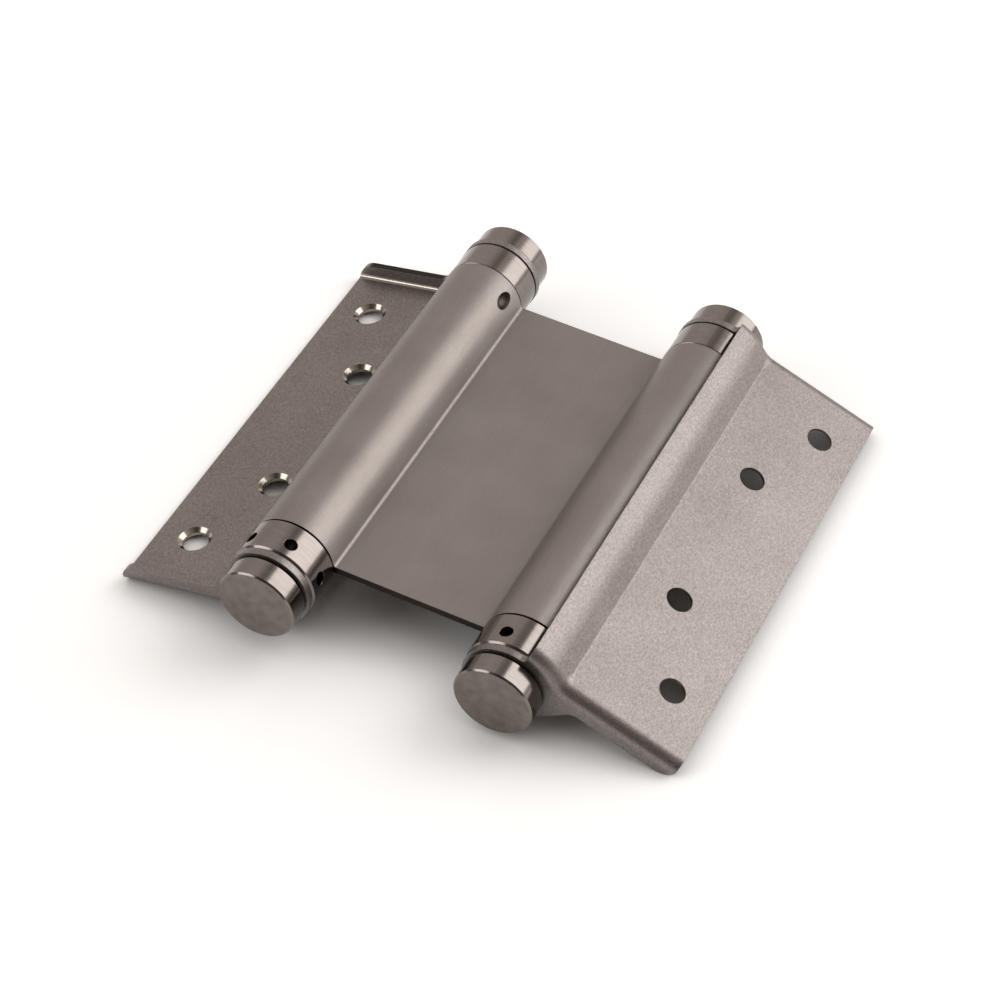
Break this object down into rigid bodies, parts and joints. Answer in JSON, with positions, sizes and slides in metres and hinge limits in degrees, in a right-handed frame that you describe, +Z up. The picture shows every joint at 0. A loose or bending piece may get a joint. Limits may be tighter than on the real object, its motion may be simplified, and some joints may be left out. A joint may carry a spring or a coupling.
{
  "type": "double action cafe hinge",
  "caption": "Double action spring hinge: two tray leaves turn on barrels rolled from one centre web, with tension collars, end caps and countersunk screw holes.",
  "frame": {"origin": "centre of the bounding box's footprint, on the floor that the opened hinge lies on", "axes": "+Y along the barrels toward the fixed plugs, -Y toward the tension collars; +X from the jamb leaf to the door leaf; +Z up"},
  "size_m": [0.1196, 0.1128, 0.0224],
  "materials": {
    "web_sheet": "satin, brushed along the barrels",
    "leaf_sheet": "satin, fine cross grain",
    "turned_steel": "bright turned",
    "spindle_steel": "plain bright rod",
    "spring_wire": "dull drawn wire"
  },
  "bodies": {
    "web_body": {"centre_web": "web_sheet", "jamb_plug": "turned_steel", "jamb_spring": "spring_wire", "door_plug": "turned_steel", "door_spring": "spring_wire"},
    "jamb_leaf_body": {"jamb_leaf": "leaf_sheet", "jamb_spindle": "spindle_steel", "jamb_front_cap": "turned_steel", "jamb_rear_cap": "turned_steel"},
    "door_leaf_body": {"door_leaf": "leaf_sheet", "door_spindle": "spindle_steel", "door_front_cap": "turned_steel", "door_rear_cap": "turned_steel"},
    "jamb_collar_body": {"jamb_collar": "turned_steel"},
    "door_collar_body": {"door_collar": "turned_steel"}
  },
  "joints": [
    {"name": "jamb_leaf_hinge", "type": "hinge", "parent": "web_body", "child": "jamb_leaf_body", "pos_m": [-0.02583, 0.00045, 0.01352], "axis": [0, -1, 0], "range_deg": [-191.5, 62]},
    {"name": "door_leaf_hinge", "type": "hinge", "parent": "web_body", "child": "door_leaf_body", "pos_m": [0.02403, 0.00045, 0.00977], "axis": [0, -1, 0], "range_deg": [-160, 94]},
    {"name": "jamb_collar_turn", "type": "hinge", "parent": "web_body", "child": "jamb_collar_body", "pos_m": [-0.02583, -0.04555, 0.01352], "axis": [0, -1, 0], "range_deg": [0, 240]},
    {"name": "door_collar_turn", "type": "hinge", "parent": "web_body", "child": "door_collar_body", "pos_m": [0.02403, -0.04555, 0.00977], "axis": [0, -1, 0], "range_deg": [0, 240]}
  ]
}
